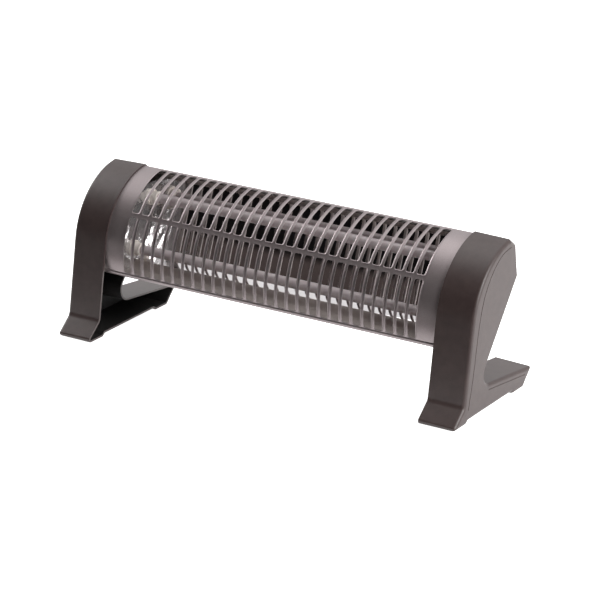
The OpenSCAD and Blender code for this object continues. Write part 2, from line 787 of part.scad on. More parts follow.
module rocker(i) {
    color("#2a2828") at_switch(i) translate([0, 0, pivot_z]) rotate([rocker_lean, 0, 0]) {
        intersection() {
            rotate([0, 90, 0]) cylinder(r = rocker_r, h = rocker_w, center = true);
            along_x(-rocker_w / 2, rocker_w / 2)
                polygon([[-rocker_r, -rocker_low], [rocker_r, -rocker_low],
                    [rocker_r, rocker_end], [0, rocker_mid], [-rocker_r, rocker_end]]);
        }
        rotate([0, 90, 0]) cylinder(r = trunnion_r, h = rocker_w + 2 * rocker_gap
            + 2 * trunnion_in, center = true);
    }
}
module upper_switch_housing() { switch_housing(0); }
module lower_switch_housing() { switch_housing(1); }
module upper_rocker() { rocker(0); }
module lower_rocker() { rocker(1); }
module switch_blades() {
    color("#c8b27a") for (i = [0, 1], s = [-1, 1])
        at_switch(i) translate([0, s * blade_apart, 0])
            block_at(blade_w, blade_t, blade_z - blade_len, blade_z);
}

// Tip-over switch: plunger, bridge, contacts and spring in a square housing
tilt_w = 16;
tilt_h = 24;
chamber_r = 5;
chamber_z = 9;
roof = 2;
module at_tilt(z) { translate([x_stand, tilt_y, z]) children(); }
tilt_top = tilt_pad_top + tilt_h;
contact_w = 4;
contact_tip = 3.9;
contact_gap = 0.1;
module tilt_switch_housing() {
    color("#35322f") difference() {
        translate([x_stand - tilt_w / 2, tilt_y - tilt_w / 2, tilt_pad_top]) cube([tilt_w, tilt_w, tilt_h]);
        at_tilt(0) cylinder(r = stem_d / 2 + run_gap, h = tilt_top - roof);
        at_tilt(chamber_z) cylinder(r = chamber_r, h = tilt_top - roof - chamber_z);
        at_tilt(contact_z - contact_gap) translate([-tilt_w, -contact_w / 2 - contact_gap, 0])
            cube([2 * tilt_w, contact_w + 2 * contact_gap, contact_t + 2 * contact_gap]);
    }
}
foot_r = 4;
foot_t = 2;
bridge_r = 4.6;
bridge_t = 1.2;
stem_top = 21;
module tilt_plunger() {
    color("#d9d4c8") {
        at_tilt(foot_gap) cylinder(r = foot_r, h = foot_t);
        at_tilt(foot_gap) cylinder(d = stem_d, h = stem_top - foot_gap);
        at_tilt(contact_z - seat_gap - bridge_t) cylinder(r = bridge_r, h = bridge_t);
    }
}
module tilt_contacts() {
    color("#c8b27a") for (s = [0, 1]) at_tilt(contact_z) mirror([s, 0, 0])
        translate([contact_tip, -contact_w / 2, 0])
            cube([contact_reach + lead_r - contact_tip, contact_w, contact_t]);
}
spring_r = 2.9;
wire_r = 0.35;
spring_gap = 0.05;
spring_low = contact_z - seat_gap;
module tilt_spring() {
    color("#b8b6b0") at_tilt(spring_low + spring_gap) difference() {
        cylinder(r = spring_r + wire_r, h = tilt_top - roof - spring_low - 2 * spring_gap);
        translate([0, 0, -over]) cylinder(r = spring_r - wire_r, h = tilt_h);
    }
}

// Cord gland and its nut
nut_gap = 0.1;
gland_nut_t = 4;
gland_nut_r = gland_flange_d / 2;
gland_wall = wall + draft;
module cord_gland() {
    color("#262423") at_gland() difference() {
        union() {
            cylinder(d = gland_flange_d, h = flange_t);
            translate([0, 0, flange_t - gland_len]) cylinder(r = gland_body_r, h = gland_len);
        }
        translate([0, 0, flange_t - gland_len - over])
            cylinder(d = gland_bore_d, h = gland_len + 2 * over);
    }
}
module gland_nut() {
    color("#262423") at_gland() translate([0, 0, -gland_wall - gland_nut_t]) difference() {
        cylinder(r = gland_nut_r, h = gland_nut_t, $fn = 6);
        translate([0, 0, -over]) cylinder(r = gland_body_r + nut_gap, h = gland_nut_t + 2 * over);
    }
}

// Screws
module end_plate_screws() {
    color("#b4b2ad") for (s = [0, 1], p = fixings) mirror([s, 0, 0])
        translate([x_plate, p[0], p[1]]) rotate([0, -90, 0])
            pan_screw(screw_r, plate_t + pilot_len - over);
}
module cover_screws() {
    color("#5a5653") for (x = [-x_screw, x_screw], s = screw_shares)
        on_side(cover_low, cover_line[i_bend], s, x) pan_screw(screw_r, screw_bite);
}

module upper_quartz_tube() { quartz_tube(tube_a); }
module lower_quartz_tube() { quartz_tube(tube_b); }
module upper_heating_coil() { heating_coil(tube_a); }
module lower_heating_coil() { heating_coil(tube_b); }
module upper_left_cap() { mirrored() ceramic_cap(tube_a); }
module upper_right_cap() { ceramic_cap(tube_a); }
module lower_left_cap() { mirrored() ceramic_cap(tube_b); }
module lower_right_cap() { ceramic_cap(tube_b); }
module upper_terminal_pins() { terminal_pins(tube_a); }
module lower_terminal_pins() { terminal_pins(tube_b); }

left_stand();
right_stand();
front_grille();
reflector();
left_reflector_end();
right_reflector_end();
rear_cover();
left_end_plate();
right_end_plate();
upper_quartz_tube();
lower_quartz_tube();
upper_heating_coil();
lower_heating_coil();
upper_left_cap();
upper_right_cap();
lower_left_cap();
lower_right_cap();
upper_terminal_pins();
lower_terminal_pins();
terminal_nuts();
terminal_tags();
left_link_lead();
return_lead();
upper_tube_lead();
lower_tube_lead();
supply_leads();
terminal_block();
terminal_block_screws();
upper_switch_housing();
lower_switch_housing();
upper_rocker();
lower_rocker();
switch_blades();
tilt_switch_housing();
tilt_plunger();
tilt_contacts();
tilt_spring();
cord_gland();
gland_nut();
end_plate_screws();
cover_screws();
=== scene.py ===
# %% [markdown]
# # Two bar quartz heater
# The heater is a pressed grille and a polished reflector held between two moulded stands.
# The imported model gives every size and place. Here the pieces that show get smooth edges,
# pressed rims and real finishes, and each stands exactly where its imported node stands.

import math

import bpy
from mathutils import Matrix, Vector
from mathutils.bvhtree import BVHTree


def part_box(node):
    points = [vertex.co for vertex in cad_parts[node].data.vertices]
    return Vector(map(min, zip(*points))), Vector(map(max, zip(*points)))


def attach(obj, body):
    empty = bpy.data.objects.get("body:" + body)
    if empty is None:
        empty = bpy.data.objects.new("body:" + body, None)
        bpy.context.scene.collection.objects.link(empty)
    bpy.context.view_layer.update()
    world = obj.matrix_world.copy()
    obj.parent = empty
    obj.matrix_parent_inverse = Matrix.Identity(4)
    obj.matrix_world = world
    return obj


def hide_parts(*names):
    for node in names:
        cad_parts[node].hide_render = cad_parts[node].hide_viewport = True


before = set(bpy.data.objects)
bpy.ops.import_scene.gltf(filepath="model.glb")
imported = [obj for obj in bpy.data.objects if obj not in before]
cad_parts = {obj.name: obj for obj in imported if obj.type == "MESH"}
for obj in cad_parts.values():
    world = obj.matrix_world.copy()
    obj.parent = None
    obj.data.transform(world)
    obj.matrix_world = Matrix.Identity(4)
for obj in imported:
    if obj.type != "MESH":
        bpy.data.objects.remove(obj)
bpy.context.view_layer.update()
MM = 0.001
TINY = 0.001 * MM
SAME_SPOT = 0.01 * MM

# %% [markdown]
# Operators work on whatever is selected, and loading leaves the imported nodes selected.
# So each step starts by selecting just its own object.

# %% Helpers for selecting, merging and finishing
def pick(*objects):
    """Selects only these objects and makes the first one active."""
    bpy.ops.object.select_all(action="DESELECT")
    for obj in objects:
        obj.select_set(True)
    bpy.context.view_layer.objects.active = objects[0]


def merged_copy(node, name):
    """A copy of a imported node's mesh with its loose triangles merged into clean faces."""
    piece = bpy.data.objects.new(name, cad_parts[node].data.copy())
    bpy.context.scene.collection.objects.link(piece)
    pick(piece)
    bpy.ops.mesh.customdata_custom_splitnormals_clear()
    bpy.ops.object.mode_set(mode="EDIT")
    bpy.ops.mesh.select_all(action="SELECT")
    bpy.ops.mesh.remove_doubles(threshold=0.002 * MM)
    bpy.ops.mesh.dissolve_limited(angle_limit=math.radians(0.3))
    bpy.ops.object.mode_set(mode="OBJECT")
    return piece


def shade(piece, angle):
    """Shades a piece smooth, except across edges sharper than angle."""
    pick(piece)
    bpy.ops.object.shade_smooth_by_angle(angle=math.radians(angle))


def steady_normals(piece):
    """Shades each smooth patch by its widest faces, so that flat faces stay flat to their edges."""
    pick(piece)
    steady = piece.modifiers.new("normals", "WEIGHTED_NORMAL")
    steady.keep_sharp = True
    bpy.ops.object.modifier_apply(modifier=steady.name)


def soften(piece, width, segments=3, angle=30, flat=True):
    """Rounds edges sharper than angle and shades the rest smooth. Flat keeps flat faces flat."""
    pick(piece)
    bevel = piece.modifiers.new("edge", "BEVEL")
    bevel.width = width
    bevel.segments = segments
    bevel.limit_method = "ANGLE"
    bevel.angle_limit = math.radians(angle)
    bevel.use_clamp_overlap = True
    bpy.ops.object.modifier_apply(modifier=bevel.name)
    shade(piece, angle)
    if flat:
        steady_normals(piece)


def dress(piece, material, body="heater", nodes=()):
    """Gives a piece its finish, its body and the nodes it stands for."""
    piece.data.materials.clear()
    piece.data.materials.append(material)
    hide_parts(*nodes)
    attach(piece, body)


# %% [markdown]
# Colours are written as the hex codes a paint chart would give. Blender's shaders want
# linear values, so one function converts them.

# %% Helpers for finishes
def colour(code):
    """Linear RGBA from an sRGB hex code."""
    parts = [int(code[i:i + 2], 16) / 255 for i in (1, 3, 5)]
    linear = [c / 12.92 if c <= 0.04045 else ((c + 0.055) / 1.055) ** 2.4 for c in parts]
    return (*linear, 1.0)


def add_node(material, kind, inputs=None, links=None, **settings):
    """Adds a shader node with its settings, values and incoming links."""
    node = material.node_tree.nodes.new(kind)
    for name, value in settings.items():
        setattr(node, name, value)
    for name, value in (inputs or {}).items():
        node.inputs[name].default_value = value
    for name, source in (links or {}).items():
        material.node_tree.links.new(source, node.inputs[name])
    return node


def finish(name, sockets):
    """A material whose Principled shader has these plain values."""
    material = bpy.data.materials.new(name)
    material.use_nodes = True
    shader = material.node_tree.nodes["Principled BSDF"]
    for socket, value in sockets.items():
        shader.inputs[socket].default_value = value
    return material


def mottle(material, dark, light, size, detail=3.0, stretch=(1, 1, 1)):
    """Drifts the base colour between two hex codes in patches about size metres across."""
    place = add_node(material, "ShaderNodeTexCoord")
    drawn = add_node(material, "ShaderNodeMapping", {"Scale": stretch},
                     {"Vector": place.outputs["Object"]})
    noise = add_node(material, "ShaderNodeTexNoise", {"Scale": 1 / size, "Detail": detail},
                     {"Vector": drawn.outputs["Vector"]})
    ramp = add_node(material, "ShaderNodeValToRGB", None, {"Fac": noise.outputs["Fac"]})
    ramp.color_ramp.elements[0].position = 0.3
    ramp.color_ramp.elements[0].color = colour(dark)
    ramp.color_ramp.elements[1].position = 0.7
    ramp.color_ramp.elements[1].color = colour(light)
    shader = material.node_tree.nodes["Principled BSDF"]
    material.node_tree.links.new(ramp.outputs["Color"], shader.inputs["Base Color"])


def relief(material, size, depth, strength=1.0, detail=2.0, stretch=(1, 1, 1)):
    """Bumps the surface with noise about size metres across and depth metres deep."""
    place = add_node(material, "ShaderNodeTexCoord")
    drawn = add_node(material, "ShaderNodeMapping", {"Scale": stretch},
                     {"Vector": place.outputs["Object"]})
    noise = add_node(material, "ShaderNodeTexNoise", {"Scale": 1 / size, "Detail": detail},
                     {"Vector": drawn.outputs["Vector"]})
    bump = add_node(material, "ShaderNodeBump", {"Distance": depth, "Strength": strength},
                    {"Height": noise.outputs["Fac"]})
    shader = material.node_tree.nodes["Principled BSDF"]
    material.node_tree.links.new(bump.outputs["Normal"], shader.inputs["Normal"])


# %% [markdown]
# ## Finishes
# The stands are moulded ABS with a fine spark-eroded grain, which scatters the highlight. The
# real grain is about 0.1 mm, too fine to show, so it is drawn at 0.9 mm. Inside the shell the
# plastic is rough from the mould, and its colour is painted nearly black as shade, where little
# light reaches.
#
# The grille is sheet steel with a metallic paint: a metal's shine under a soft gloss. Its
# flakes are finer than 0.1 mm and are drawn at 0.7 mm, so that they show as a faint sparkle.
# The rear cover has a plain powder coat, with the soft dimples of melted powder.

# %% Moulded and painted finishes
moulded_abs = finish("moulded_abs", {"Roughness": 0.42, "IOR": 1.5})
mottle(moulded_abs, "#3f3332", "#463a38", 9 * MM)
relief(moulded_abs, 0.9 * MM, 0.05 * MM, 0.35)

# Near black for the inside of the shell: painted shade where little light reaches.
abs_painted_shade = finish("abs_painted_shade", {"Roughness": 0.7, "IOR": 1.53})
mottle(abs_painted_shade, "#0f0d0c", "#171413", 9 * MM)
relief(abs_painted_shade, 0.9 * MM, 0.05 * MM, 0.5)

metallic_paint = finish("metallic_paint", {"Metallic": 0.6, "Roughness": 0.36})
mottle(metallic_paint, "#8f8586", "#9b9192", 0.7 * MM, 2.0)
relief(metallic_paint, 1.6 * MM, 0.02 * MM, 0.25)

powder_coat = finish("powder_coat", {"Roughness": 0.5, "IOR": 1.5})
mottle(powder_coat, "#454140", "#504b49", 1.5 * MM)
relief(powder_coat, 1.4 * MM, 0.06 * MM, 0.5)
print("moulded and painted finishes made")

# %% [markdown]
# The reflector is bright rolled aluminium. Thin sheet is never quite flat, so a long shallow
# wave bends what it mirrors. Its two ends are crinkled, which breaks the mirror into glints,
# and its foot is satin, with faint streaks along the way it was rolled.
#
# Screws, pins and plates are zinc plated, which gives a grey shine. The backs of the steel
# sheets are galvanised, which is paler and dull, and the pale colour is partly painted light,
# standing in for light the mirror throws back onto them. The switch contacts are brass, a warm
# yellow.

# %% Bright metal finishes
bright_aluminium = finish("bright_aluminium", {"Metallic": 1.0, "Roughness": 0.02})
mottle(bright_aluminium, "#d3d0d1", "#e0dddd", 30 * MM)
relief(bright_aluminium, 60 * MM, 0.4 * MM, 0.12, 1.0, (0.4, 1, 1))

crinkled_aluminium = finish("crinkled_aluminium", {"Metallic": 0.85, "Roughness": 0.2})
mottle(crinkled_aluminium, "#d6d4d5", "#f4f3f3", 5 * MM)
relief(crinkled_aluminium, 7 * MM, 1.6 * MM, 0.8, 3.0)

zinc_plate = finish("zinc_plate", {"Metallic": 1.0, "Roughness": 0.32})
mottle(zinc_plate, "#a3a29e", "#bdbbb6", 3 * MM)
relief(zinc_plate, 0.8 * MM, 0.02 * MM, 0.3)

# Pale and dull, and partly painted light: the pale colour stands in for light the mirror throws
# onto the backs.
galvanised_and_painted_light = finish("galvanised_and_painted_light", {"Metallic": 0.35, "Roughness": 0.55})
mottle(galvanised_and_painted_light, "#a39b99", "#bcb4b2", 4 * MM)
relief(galvanised_and_painted_light, 1.5 * MM, 0.02 * MM, 0.3)

satin_aluminium = finish("satin_aluminium", {"Metallic": 0.45, "Roughness": 0.5})
mottle(satin_aluminium, "#a89f9b", "#b5aca8", 12 * MM, 3.0, (0.2, 1, 1))
relief(satin_aluminium, 2 * MM, 0.03 * MM, 0.3, 2.0, (0.1, 1, 1))

contact_brass = finish("contact_brass", {"Metallic": 1.0, "Roughness": 0.3})
mottle(contact_brass, "#b99f63", "#cdb67c", 2 * MM)
relief(contact_brass, 0.6 * MM, 0.02 * MM, 0.3)
print("bright metal finishes made")

# %% [markdown]
# The tubes are milky quartz: the fused glass is full of fine bubbles drawn out along its
# length, so it looks like satin and hides the coil. Clear glass filled with a fog of bubbles
# would take very long to render, so light scatters below the surface instead.
#
# The caps are unglazed steatite ceramic, cream and matt. The leads are sleeved in woven glass,
# off-white with a fine rib, and the coils are resistance wire, dark with oxide.

# %% Quartz, ceramic and cloth finishes
milky_quartz = finish("milky_quartz", {"Roughness": 0.34, "IOR": 1.46,
                                       "Subsurface Weight": 0.7, "Subsurface Scale": 0.012,
                                       "Subsurface Radius": (1, 1, 1), "Coat Weight": 0.25,
                                       "Coat Roughness": 0.12})
mottle(milky_quartz, "#e0cacd", "#eddadd", 4 * MM, 3.0, (0.12, 1, 1))
relief(milky_quartz, 2 * MM, 0.04 * MM, 0.3, 2.0, (0.1, 1, 1))

steatite = finish("steatite", {"Roughness": 0.62, "IOR": 1.55})
mottle(steatite, "#e8dfd8", "#f4ede6", 2.5 * MM)
relief(steatite, 0.7 * MM, 0.04 * MM, 0.4)

glass_sleeving = finish("glass_sleeving", {"Roughness": 0.8})
mottle(glass_sleeving, "#bdb9ac", "#d2cfc4", 1.2 * MM)
relief(glass_sleeving, 0.6 * MM, 0.1 * MM, 0.7)

resistance_wire = finish("resistance_wire", {"Metallic": 1.0, "Roughness": 0.5})
mottle(resistance_wire, "#5f5b56", "#77726b", 1 * MM)
print("quartz, ceramic and cloth finishes made")

# %% [markdown]
# The small parts are nylon and rubber mouldings, and two of the wires have plastic insulation.
# The rockers are polished where a finger presses them, and their frames are matt. All of them
# have the same faint grain, so one function makes them from two colours and a roughness.

# %% Small plastic and rubber finishes
def small_moulding(name, dark, light, roughness):
    """A moulded plastic or rubber with a faint drift in its colour and a fine grain."""
    material = finish(name, {"Roughness": roughness, "IOR": 1.5})
    mottle(material, dark, light, 3 * MM)
    relief(material, 0.6 * MM, 0.03 * MM, 0.35)
    return material


switch_nylon = small_moulding("switch_nylon", "#1b1a1a", "#242323", 0.48)
rocker_polish = small_moulding("rocker_polish", "#262424", "#2f2d2d", 0.24)
pale_nylon = small_moulding("pale_nylon", "#d3cec2", "#e0dccf", 0.45)
gland_rubber = small_moulding("gland_rubber", "#201e1d", "#2c2a29", 0.66)
blue_wire = small_moulding("blue_wire", "#38659a", "#4574ad", 0.42)
brown_wire = small_moulding("brown_wire", "#6d4129", "#83513a", 0.42)
screw_black = small_moulding("screw_black", "#4a4744", "#5b5753", 0.38)
print("small finishes made")

# %% [markdown]
# ## Camera
# The photograph was taken from the front right, a little above, with a long lens. A camera
# could be turned by hand until the picture looks right. These angles and the distance are
# from a fit to the corners of the stands in the picture, which is closer.

# %% Camera
azimuth, elevation, roll = (math.radians(a) for a in (32.427, 20.386, 0.257))
look_at = Vector((0.06298, -0.0795, 0.10446))
distance = 2.9368
backward = Vector((math.sin(azimuth) * math.cos(elevation),
                   -math.cos(azimuth) * math.cos(elevation), math.sin(elevation)))
across = Vector((math.cos(azimuth), math.sin(azimuth), 0))
upward = backward.cross(across)
right = math.cos(roll) * across + math.sin(roll) * upward
top = math.cos(roll) * upward - math.sin(roll) * across
sensor, focal_pixels, picture_width = 36, 2854.02, 600
camera_data = bpy.data.cameras.new("camera")
camera_data.sensor_width = sensor
camera_data.lens = sensor * focal_pixels / picture_width
camera_data.clip_end = 100
camera = bpy.data.objects.new("camera", camera_data)
bpy.context.scene.collection.objects.link(camera)
camera.matrix_world = Matrix.Translation(look_at + backward * distance) @ Matrix(
    (right, top, backward)).transposed().to_4x4()
bpy.context.scene.camera = camera
print("camera at", [round(c, 3) for c in camera.location])

# %% [markdown]
# ## Stands
# Each stand is one ABS moulding, an open shell with a wall 2.2 mm thick. It could be drawn
# again as a profile and extruded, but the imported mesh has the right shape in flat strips, so a
# merged copy of it is shaded smooth instead.
#
# The outline of the wall's two flat sides bends inwards behind the leg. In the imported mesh
# some of their triangles run outside it and fold back, which would show as dark wedges, so
# these sides are emptied and filled again within their outline.
#
# The photograph shows a fine groove on the outer face, which runs down behind the front edge,
# and one more along the foot. A thin tube laid along each line and cut away leaves such a
# groove, with its own highlight from any side, which a drawn line would not have.

# %% Groove lines on the outer face, as [y, z] in millimetres
front_groove = [(27, 166.5), (12, 165.6), (0, 159), (-11, 150.2), (-21, 138.5), (-28.5, 125.5),
                (-34, 109), (-37.5, 95), (-40.4, 80), (-43.2, 64), (-46.2, 49), (-49.6, 34),
                (-54.8, 15)]
foot_groove = [(-13.5, 23.9), (65.5, 14.2)]
groove_r = 0.55 * MM
stand_x, outer_x = (corner.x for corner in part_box("right_stand"))
rim_x = stand_x + 8 * MM
wall = 2.2 * MM
print("stand from", round(stand_x, 4), "to", round(outer_x, 4))


# %% Helpers for the grooves
def groove_tube(name, points, x):
    """A round tube along a line on the stand's outer face."""
    line = bpy.data.curves.new(name, "CURVE")
    line.dimensions = "3D"
    line.bevel_depth = groove_r
    line.bevel_resolution = 2
    line.use_fill_caps = True
    spline = line.splines.new("NURBS")
    spline.points.add(len(points) - 1)
    for point, (y, z) in zip(spline.points, points):
        point.co = (x, y * MM, z * MM, 1)
    spline.order_u = min(4, len(points))
    spline.use_endpoint_u = True
    spline.resolution_u = 6
    tube = bpy.data.objects.new(name, line)
    bpy.context.scene.collection.objects.link(tube)
    pick(tube)
    bpy.ops.object.convert(target="MESH")
    return bpy.context.view_layer.objects.active


def cut_away(piece, cutter):
    """Subtracts the cutter from the piece and removes it."""
    pick(piece)
    cut = piece.modifiers.new("cut", "BOOLEAN")
    cut.operation = "DIFFERENCE"
    cut.solver = "EXACT"
    cut.object = cutter
    bpy.ops.object.modifier_apply(modifier=cut.name)
    bpy.data.objects.remove(cutter)


# %% Helpers for the flat sides
def clear_selection(piece, kind):
    """Leaves nothing selected in a piece's mesh, and sets what kind of thing is selected next."""
    pick(piece)
    bpy.ops.object.mode_set(mode="EDIT")
    bpy.ops.mesh.select_mode(type=kind)
    bpy.ops.mesh.select_all(action="DESELECT")
    bpy.ops.object.mode_set(mode="OBJECT")


def refill_flat(piece, x):
    """Fills a flat side of the wall again, within its own outline."""
    clear_selection(piece, "FACE")
    spots = piece.data.vertices
    for face in piece.data.polygons:
        face.select = all(abs(spots[i].co.x - x) < SAME_SPOT for i in face.vertices)
    bpy.ops.object.mode_set(mode="EDIT")
    bpy.ops.mesh.delete(type="FACE")
    bpy.ops.mesh.select_mode(type="EDGE")
    bpy.ops.mesh.select_non_manifold(extend=False)
    bpy.ops.mesh.fill(use_beauty=True)
    bpy.ops.mesh.select_all(action="SELECT")
    bpy.ops.mesh.normals_make_consistent(inside=False)
    bpy.ops.object.mode_set(mode="OBJECT")


# %% Make the two stands
def painted_shade_faces(piece, side):
    """The faces inside the shell, which get the painted shade: the ones with the stand's side wall
    beyond them.
    """
    data = piece.data
    solid = BVHTree.FromPolygons([v.co for v in data.vertices],
                                 [face.vertices for face in data.polygons])
    found = []
    for face in data.polygons:
        # The open rim looks at the drum, and keeps the finish of the outside.
        on_rim = side * face.normal.x < -0.9 and abs(face.center.x) < rim_x
        just_off = face.center + face.normal * 0.2 * MM
        hit = solid.ray_cast(just_off, Vector((side, 0, 0)))[0]
        if hit and not on_rim:
            found.append(face)
    return found


def stand(node, side):
    """One stand: side is 1 for the right and -1 for the left."""
    piece = merged_copy(node, node + "_moulding")
    refill_flat(piece, side * outer_x)
    refill_flat(piece, side * (outer_x - wall))
    cut_away(piece, groove_tube("front_line", front_groove, side * outer_x))
    cut_away(piece, groove_tube("foot_line", foot_groove, side * outer_x))
    dress(piece, moulded_abs, nodes=[node])
    # The inside of the shell gets a near-black colour: painted shade.
    piece.data.materials.append(abs_painted_shade)
    for face in painted_shade_faces(piece, side):
        face.material_index = 1
    shade(piece, 24)
    steady_normals(piece)
    return piece


right_stand = stand("right_stand", 1)
left_stand = stand("left_stand", -1)
print("stand faces", len(right_stand.data.polygons), len(left_stand.data.polygons))

# %% [markdown]
# ## Front grille
# The real grille starts as a flat blank of sheet steel. The slots are punched, their rims are
# turned in, and the blank is rolled to the drum and folded at its crest and lip. Slots could be
# cut out of a rolled sheet, but the cuts would leave no turned rims. So it is made as the real
# one is: one slot is shaped in a flat cell, copied along two rows, given its plain bands and
# its thickness, and then rolled.

# %% Sizes of the blank
drum_y, drum_z, grille_r = 35.5 * MM, 90.28 * MM, 83.5 * MM
pitch, slot_w, slot_r, rim = 13.2 * MM, 9.2 * MM, 2.0 * MM, 1.05 * MM
slots = 28
half_row = slots * pitch / 2
sheet_t = 0.8 * MM
grille_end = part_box("front_grille")[1].x
print("row of slots", round(2 * half_row / MM, 1), "in a sheet of", round(2 * grille_end / MM, 1))

# %% Rows and folds round the drum
# Angles are in degrees, forward of the drum's top. Each row's slots run from one angle to
# another, and the row edges are where its strip of sheet starts and ends.
upper_row = (8.7, 53.2)
lower_row = (57.0, 98.8)
row_edges = (7.0, 55.1, 99.65)
# A fold starts at an angle, turns by another, and has an outer radius.
crest_fold = (6.328, -42.77, 1.5 * MM)
lip_fold = (101.5, 78.5, 1.3 * MM)


def blank_y(angle):
    """How far up the flat blank lies an angle forward of the drum's top, in degrees."""
    return -math.radians(angle) * grille_r


print("blank from crest to lip", round((blank_y(crest_fold[0]) - blank_y(lip_fold[0])) / MM, 1))

# %% [markdown]
# Sheet work happens on edges. These helpers pick edges by where they lie, and pull the
# sheet's outermost edge out into the next strip.

# %% Helpers for working on edges
def edit_edges(piece, wanted):
    """Opens edit mode with just the edges selected whose two ends pass the test."""
    clear_selection(piece, "EDGE")
    spots = [v.co for v in piece.data.vertices]
    for edge in piece.data.edges:
        edge.select = wanted(spots[edge.vertices[0]], spots[edge.vertices[1]])
    bpy.ops.object.mode_set(mode="EDIT")


def pull_edge(piece, axis, place, stops):
    """Pulls the edge of the sheet at place along an axis, by each step and rise in turn."""
    for step, rise in stops:
        edit_edges(piece, lambda p, q: max(abs(p[axis] - place), abs(q[axis] - place)) < TINY)
        move = [0, 0, rise]
        move[axis] = step
        bpy.ops.mesh.extrude_edges_move(TRANSFORM_OT_translate={"value": move})
        bpy.ops.object.mode_set(mode="OBJECT")
        place += step


# %% The turned rim of a slot
# Each step is a width and a depth in millimetres. The widths add up to the rim.
rim_steps = ((0.28, 0.0), (0.3, 0.22), (0.27, 0.4), (0.2, 0.5))


def turn_rim(cell):
    """Turns the rim of the slot inward in steps and opens the slot, the one many-sided face."""
    clear_selection(cell, "FACE")
    for face in cell.data.polygons:
        face.select = len(face.vertices) > 4
    bpy.ops.object.mode_set(mode="EDIT")
    for width, depth in rim_steps:
        bpy.ops.mesh.inset(thickness=width * MM, depth=-depth * MM)
    bpy.ops.mesh.delete(type="FACE")
    bpy.ops.object.mode_set(mode="OBJECT")


print("rim", round(sum(width for width, depth in rim_steps), 2), "of", round(rim / MM, 2))


# %% One slot in its flat cell
def slot_cell(name, high, low, top, bottom):
    """A cell of sheet from top to bottom, with one slot from high to low in it."""
    length, middle = high - low, (high + low) / 2
    bpy.ops.object.select_all(action="DESELECT")
    bpy.ops.mesh.primitive_plane_add(size=1, location=(0, 0, 0))
    cell = bpy.context.active_object
    cell.name = name
    bpy.ops.object.mode_set(mode="EDIT")
    bpy.ops.transform.resize(value=(slot_w + 2 * rim, length + 2 * rim, 1))
    bpy.ops.transform.translate(value=(0, middle, 0))
    bpy.ops.mesh.bevel(offset=slot_r + rim, segments=6, affect="VERTICES")
    bpy.ops.mesh.select_all(action="SELECT")
    bpy.ops.mesh.delete(type="ONLY_FACE")
    bpy.ops.object.mode_set(mode="OBJECT")
    edit_edges(cell, lambda p, q: abs(p.x - q.x) < TINY and abs(p.y - q.y) > length / 2)
    bpy.ops.mesh.subdivide(number_cuts=17)
    bpy.ops.mesh.select_all(action="SELECT")
    bpy.ops.mesh.edge_face_add()
    bpy.ops.object.mode_set(mode="OBJECT")
    outline = {v.index for v in cell.data.vertices}
    edit_edges(cell, lambda p, q: True)
    bpy.ops.mesh.extrude_edges_move(TRANSFORM_OT_translate={"value": (0, 0, 0)})
    bpy.ops.object.mode_set(mode="OBJECT")
    # The outer copy of the outline is sent to the edge of the cell: up or down, sideways, or
    # both at a corner.
    for vertex in cell.data.vertices:
        if vertex.index in outline:
            continue
        beside = abs(vertex.co.x) - slot_w / 2 + slot_r
        beyond = abs(vertex.co.y - middle) - length / 2 + slot_r
        if beyond > beside * 0.999:
            vertex.co.y = top if vertex.co.y > middle else bottom
        if beside > beyond * 0.999:
            vertex.co.x = math.copysign(pitch / 2, vertex.co.x)
    turn_rim(cell)
    return cell


# %% Two rows of slots
def slot_row(name, row, edges):
    """A row of slots between two angles, in a strip of sheet between two wider ones."""
    cell = slot_cell(name, blank_y(row[0]), blank_y(row[1]), blank_y(edges[0]), blank_y(edges[1]))
    cell.location.x = (1 - slots) / 2 * pitch
    pick(cell)
    bpy.ops.object.transform_apply(location=True, rotation=False, scale=False)
    copies = cell.modifiers.new("copies", "ARRAY")
    copies.count = slots
    copies.use_relative_offset = False
    copies.use_constant_offset = True
    copies.constant_offset_displace = (pitch, 0, 0)
    copies.use_merge_vertices = True
    copies.merge_threshold = SAME_SPOT
    bpy.ops.object.modifier_apply(modifier=copies.name)
    return cell


grille = slot_row("front_grille_sheet", upper_row, row_edges[:2])
lower_strip = slot_row("lower_strip", lower_row, row_edges[1:])
pick(grille, lower_strip)
bpy.ops.object.join()
bpy.ops.object.mode_set(mode="EDIT")
bpy.ops.mesh.select_all(action="SELECT")
bpy.ops.mesh.remove_doubles(threshold=SAME_SPOT)
bpy.ops.object.mode_set(mode="OBJECT")
print("slotted strip", [round(d / MM, 1) for d in grille.dimensions])

# %% [markdown]
# Plain bands follow at both ends, each with a fine pressed line near the stand. The crest
# flange and the lower lip come last, so that they run through the bands too. The lip stands
# out in a bead that stiffens the edge and catches the light. All of them are pulled out of the
# sheet's own edge, so that the blank stays one sheet.

# %% Bands, crest flange and lip
# Each step is a length and a rise in millimetres, out towards the stand.
band = [(5.7, 0), (5.7, 0), (5.7, 0), (0.2, -0.5), (0.45, 0), (0.2, 0.5)]
band.append(((grille_end - half_row) / MM - sum(step for step, rise in band), 0))
for side in (1, -1):
    pull_edge(grille, 0, side * half_row, [(side * step * MM, rise * MM) for step, rise in band])

fold_steps = 6
crest_step, crest_flange = 0.187 * MM, 10.4 * MM
to_fold = blank_y(crest_fold[0]) - blank_y(row_edges[0])
pull_edge(grille, 1, blank_y(row_edges[0]),
          [(to_fold, 0)] + [(crest_step, 0)] * fold_steps + [(crest_flange, 0)])

# Each step of the bead is an angle in degrees and a rise in millimetres.
bead = [(0.62, 0), (0.07, 0.45), (0.17, 0.35), (0.3, 0.2)]
lip_step, lip_flange = 0.297 * MM, 7.9 * MM
degree = blank_y(1)
to_fold = lip_fold[0] - row_edges[2] - sum(step for step, rise in bead)
pull_edge(grille, 1, blank_y(row_edges[2]),
          [(step * degree, rise * MM) for step, rise in bead] + [(to_fold * degree, 0)]
          + [(-lip_step, 0)] * fold_steps + [(-lip_flange, 0)])
print("blank", [round(d / MM, 1) for d in grille.dimensions])
